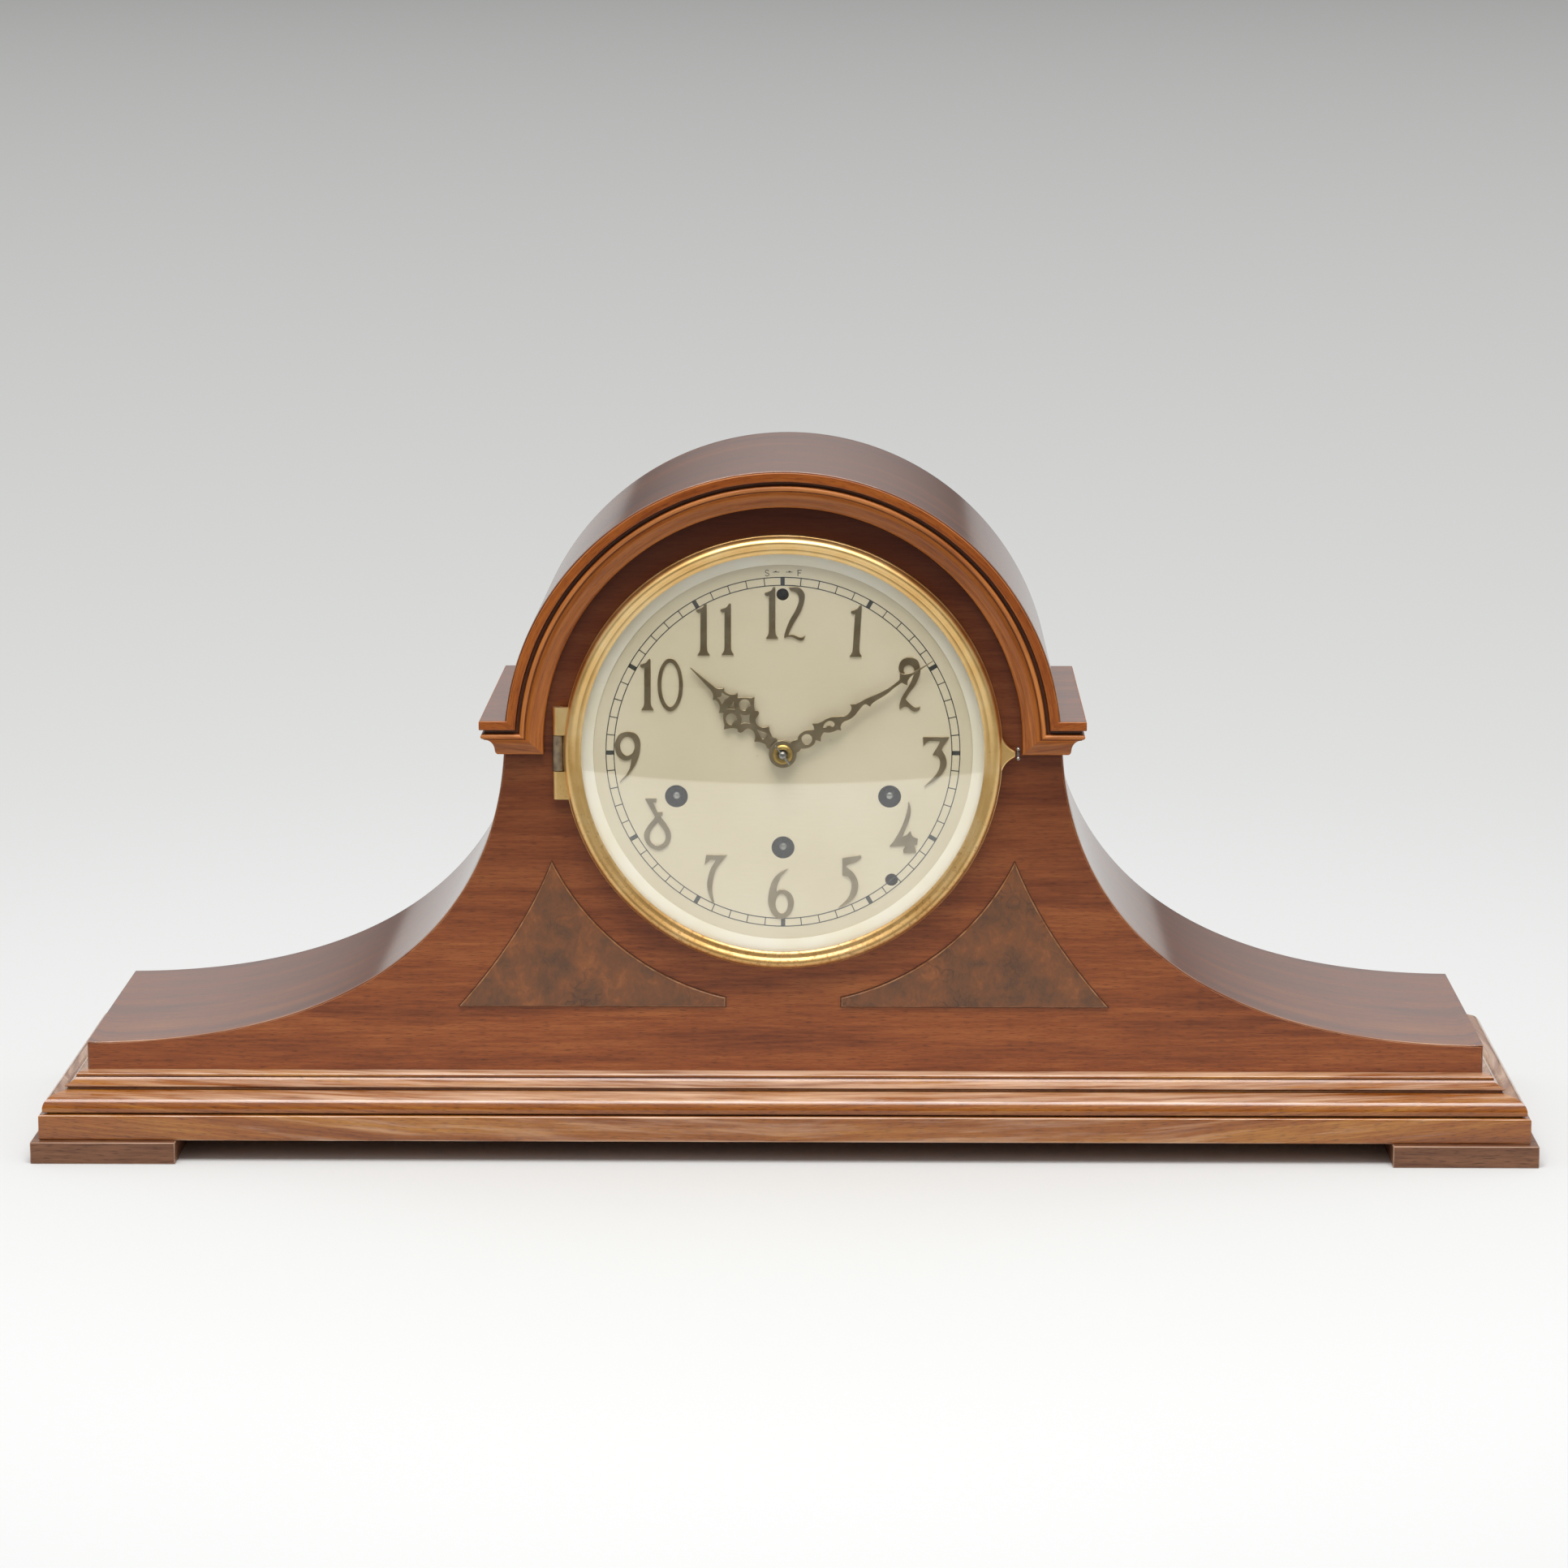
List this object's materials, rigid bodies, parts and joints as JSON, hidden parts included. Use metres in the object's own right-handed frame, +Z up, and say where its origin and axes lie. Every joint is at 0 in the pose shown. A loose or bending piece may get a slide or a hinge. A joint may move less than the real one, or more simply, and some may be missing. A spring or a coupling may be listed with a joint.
{
  "type": "tambour mantel clock",
  "caption": "Wooden mantel clock with a drum between swept wings, a moulded base, a hinged brass bezel with convex glass, pierced hands and a spring driven chiming movement.",
  "frame": {"origin": "middle of the underside, on the surface that the clock stands on", "axes": "+X across the wings to the right as seen from the front, +Z up, the dial faces -Y"},
  "size_m": [0.5696, 0.151, 0.2623],
  "materials": {
    "case_wood": "gloss lacquer",
    "base_wood": "gloss lacquer",
    "burl": "gloss lacquer",
    "plain_wood": "satin",
    "gilt_brass": "polished",
    "brass": "satin",
    "bronze": "dark bronze",
    "steel": "satin",
    "dial_finish": "silvered",
    "glass": "polished",
    "cast_iron": "painted"
  },
  "bodies": {
    "case": {"base_moulding": "base_wood", "bottom_board": "plain_wood", "foot_front_left": "base_wood", "foot_front_right": "base_wood", "foot_rear_left": "base_wood", "foot_rear_right": "base_wood", "front_board": "case_wood", "back_board": "plain_wood", "wing_top_left": "case_wood", "wing_top_right": "case_wood", "drum_top": "case_wood", "arch_moulding": "case_wood", "impost_left": "case_wood", "impost_right": "case_wood", "burl_panel_left": "burl", "burl_panel_right": "burl", "door_hinge_leaf": "brass", "door_hinge_pin": "steel", "dial": "dial_finish", "bezel_hinge_leaf": "bronze", "bezel_hinge_pin": "steel", "bezel_catch": "steel", "movement_front_plate": "brass", "movement_back_plate": "brass", "chime_rod_block": "cast_iron", "chime_rod_1": "steel", "chime_rod_2": "steel"},
    "bezel": {"bezel_ring": "gilt_brass", "bezel_glass": "glass", "sight_ring": "dial_finish"},
    "rear_door": {"back_door": "plain_wood", "door_hinge_strap": "brass"},
    "turn_button": {"door_turn_button": "brass"},
    "minute_work": {"center_arbor": "steel", "cannon_pinion": "brass", "minute_hand": "bronze", "hand_washer": "brass", "taper_pin": "steel"},
    "hour_work": {"hour_wheel": "brass", "hour_hand": "bronze"},
    "minute_wheel_work": {"minute_wheel": "brass"},
    "strike_drum": {"strike_barrel": "brass", "strike_mainspring": "steel"},
    "chime_drum": {"chime_barrel": "brass", "chime_mainspring": "steel"},
    "time_drum": {"time_barrel": "brass", "time_mainspring": "steel"},
    "strike_winder": {"strike_winding_arbor": "steel"},
    "chime_winder": {"chime_winding_arbor": "steel"},
    "time_winder": {"time_winding_arbor": "steel"},
    "intermediate_work": {"intermediate_wheel": "brass"},
    "center_work": {"center_wheel": "brass"},
    "third_work": {"third_wheel": "brass"},
    "escape_work": {"escape_wheel": "brass"},
    "pallet_work": {"anchor": "steel"},
    "pendulum": {"pendulum_rod": "steel", "pendulum_bob": "brass"},
    "regulator": {"regulator_arbor": "steel"},
    "first_hammer": {"hammer_1": "brass"},
    "second_hammer": {"hammer_2": "brass"}
  },
  "joints": [
    {"name": "bezel_hinge", "type": "hinge", "parent": "case", "child": "bezel", "pos_m": [-0.0843, -0.0582, 0.1552], "axis": [0, 0, -1], "range_deg": [0, 90]},
    {"name": "back_door_hinge", "type": "hinge", "parent": "case", "child": "rear_door", "pos_m": [-0.0696, 0.0717, 0.1502], "axis": [0, 0, 1], "range_deg": [0, 110]},
    {"name": "turn_button_pivot", "type": "hinge", "parent": "case", "child": "turn_button", "pos_m": [0.075, 0.07, 0.1502], "axis": [0, -1, 0], "range_deg": [0, 90]},
    {"name": "minute_hand_turn", "type": "hinge", "parent": "case", "child": "minute_work", "pos_m": [0, 0, 0.1552], "axis": [0, 1, 0], "continuous": true},
    {"name": "hour_hand_turn", "type": "hinge", "parent": "case", "child": "hour_work", "pos_m": [0, 0, 0.1552], "axis": [0, 1, 0], "continuous": true},
    {"name": "minute_wheel_turn", "type": "hinge", "parent": "case", "child": "minute_wheel_work", "pos_m": [0.012, 0, 0.1552], "axis": [0, 1, 0], "continuous": true},
    {"name": "strike_drum_turn", "type": "hinge", "parent": "case", "child": "strike_drum", "pos_m": [-0.04, 0, 0.1385], "axis": [0, 1, 0], "continuous": true},
    {"name": "chime_drum_turn", "type": "hinge", "parent": "case", "child": "chime_drum", "pos_m": [0.04, 0, 0.1385], "axis": [0, 1, 0], "continuous": true},
    {"name": "time_drum_turn", "type": "hinge", "parent": "case", "child": "time_drum", "pos_m": [0, 0, 0.119], "axis": [0, 1, 0], "continuous": true},
    {"name": "strike_winding", "type": "hinge", "parent": "case", "child": "strike_winder", "pos_m": [-0.04, 0, 0.1385], "axis": [0, 1, 0], "continuous": true},
    {"name": "chime_winding", "type": "hinge", "parent": "case", "child": "chime_winder", "pos_m": [0.04, 0, 0.1385], "axis": [0, 1, 0], "continuous": true},
    {"name": "time_winding", "type": "hinge", "parent": "case", "child": "time_winder", "pos_m": [0, 0, 0.119], "axis": [0, 1, 0], "continuous": true},
    {"name": "intermediate_turn", "type": "hinge", "parent": "case", "child": "intermediate_work", "pos_m": [0, 0, 0.1422], "axis": [0, 1, 0], "continuous": true},
    {"name": "center_wheel_turn", "type": "hinge", "parent": "case", "child": "center_work", "pos_m": [0, 0, 0.1552], "axis": [0, 1, 0], "continuous": true},
    {"name": "third_wheel_turn", "type": "hinge", "parent": "case", "child": "third_work", "pos_m": [0, 0, 0.1682], "axis": [0, 1, 0], "continuous": true},
    {"name": "escape_wheel_turn", "type": "hinge", "parent": "case", "child": "escape_work", "pos_m": [0, 0, 0.1807], "axis": [0, 1, 0], "continuous": true},
    {"name": "anchor_rock", "type": "hinge", "parent": "case", "child": "pallet_work", "pos_m": [0, 0, 0.1942], "axis": [0, 1, 0], "range_deg": [-3, 3]},
    {"name": "pendulum_swing", "type": "hinge", "parent": "case", "child": "pendulum", "pos_m": [0, 0.0091, 0.1942], "axis": [0, 1, 0], "range_deg": [-3, 3]},
    {"name": "regulator_turn", "type": "hinge", "parent": "case", "child": "regulator", "pos_m": [0, 0, 0.215], "axis": [0, 1, 0], "range_deg": [-180, 180]},
    {"name": "hammer_1_lift", "type": "hinge", "parent": "case", "child": "first_hammer", "pos_m": [0.034, 0.0181, 0.0692], "axis": [0, 1, 0], "range_deg": [-25, 0]},
    {"name": "hammer_2_lift", "type": "hinge", "parent": "case", "child": "second_hammer", "pos_m": [0.034, 0.0321, 0.0692], "axis": [0, 1, 0], "range_deg": [-25, 0]}
  ],
  "couplings": [
    {"joint": "hour_hand_turn", "follows": "minute_hand_turn", "ratio": 0.083333},
    {"joint": "minute_wheel_turn", "follows": "minute_hand_turn", "ratio": -0.33333},
    {"joint": "escape_wheel_turn", "follows": "third_wheel_turn", "ratio": -3.5},
    {"joint": "center_wheel_turn", "follows": "third_wheel_turn", "ratio": -0.28571},
    {"joint": "intermediate_turn", "follows": "third_wheel_turn", "ratio": 0.095238},
    {"joint": "time_drum_turn", "follows": "third_wheel_turn", "ratio": -0.021164},
    {"joint": "anchor_rock", "follows": "pendulum_swing", "ratio": 1}
  ]
}
